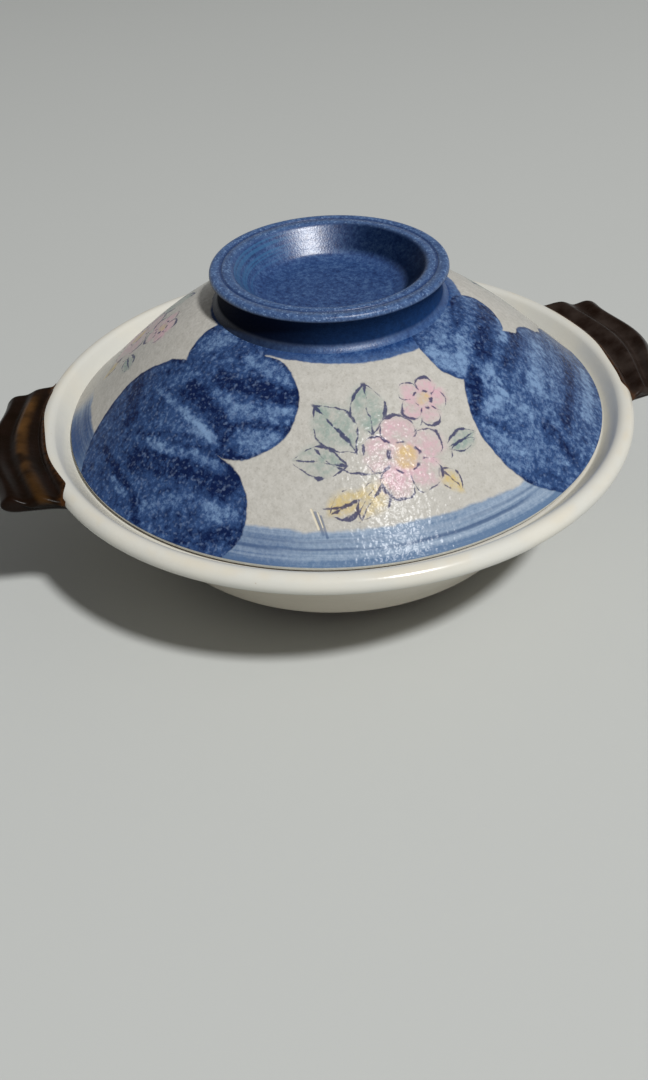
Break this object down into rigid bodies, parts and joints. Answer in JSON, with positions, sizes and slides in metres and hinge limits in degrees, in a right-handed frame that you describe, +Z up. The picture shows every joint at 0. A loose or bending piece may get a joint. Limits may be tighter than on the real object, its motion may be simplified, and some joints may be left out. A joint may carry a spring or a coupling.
{
  "type": "donabe clay pot",
  "caption": "Wide shallow stoneware cooking pot with lug handles at the rim and a domed lid that lifts off an inner ledge by a flared, cup-shaped knob.",
  "frame": {"origin": "centre of the foot ring's bottom face, on the table", "axes": "+Z up along the pot's axis, +X from left_handle to right_handle, which sit 4 mm behind the middle"},
  "size_m": [0.318, 0.27, 0.1415],
  "materials": {
    "cream_glaze": "glossy cream glaze over stoneware",
    "brown_glaze": "glossy dark brown iron glaze",
    "painted_glaze": "glossy speckled glaze over sponged blue clouds on warm grey",
    "blue_glaze": "glossy speckled blue glaze"
  },
  "bodies": {
    "pot": {"pot_body": "cream_glaze", "left_handle": "brown_glaze", "right_handle": "brown_glaze"},
    "lid": {"lid_dome": "painted_glaze", "lid_knob": "blue_glaze"}
  },
  "joints": [
    {"name": "lid_lift", "type": "slide", "parent": "pot", "child": "lid", "axis": [0, 0, 1], "range_m": [0, 0.12]}
  ]
}
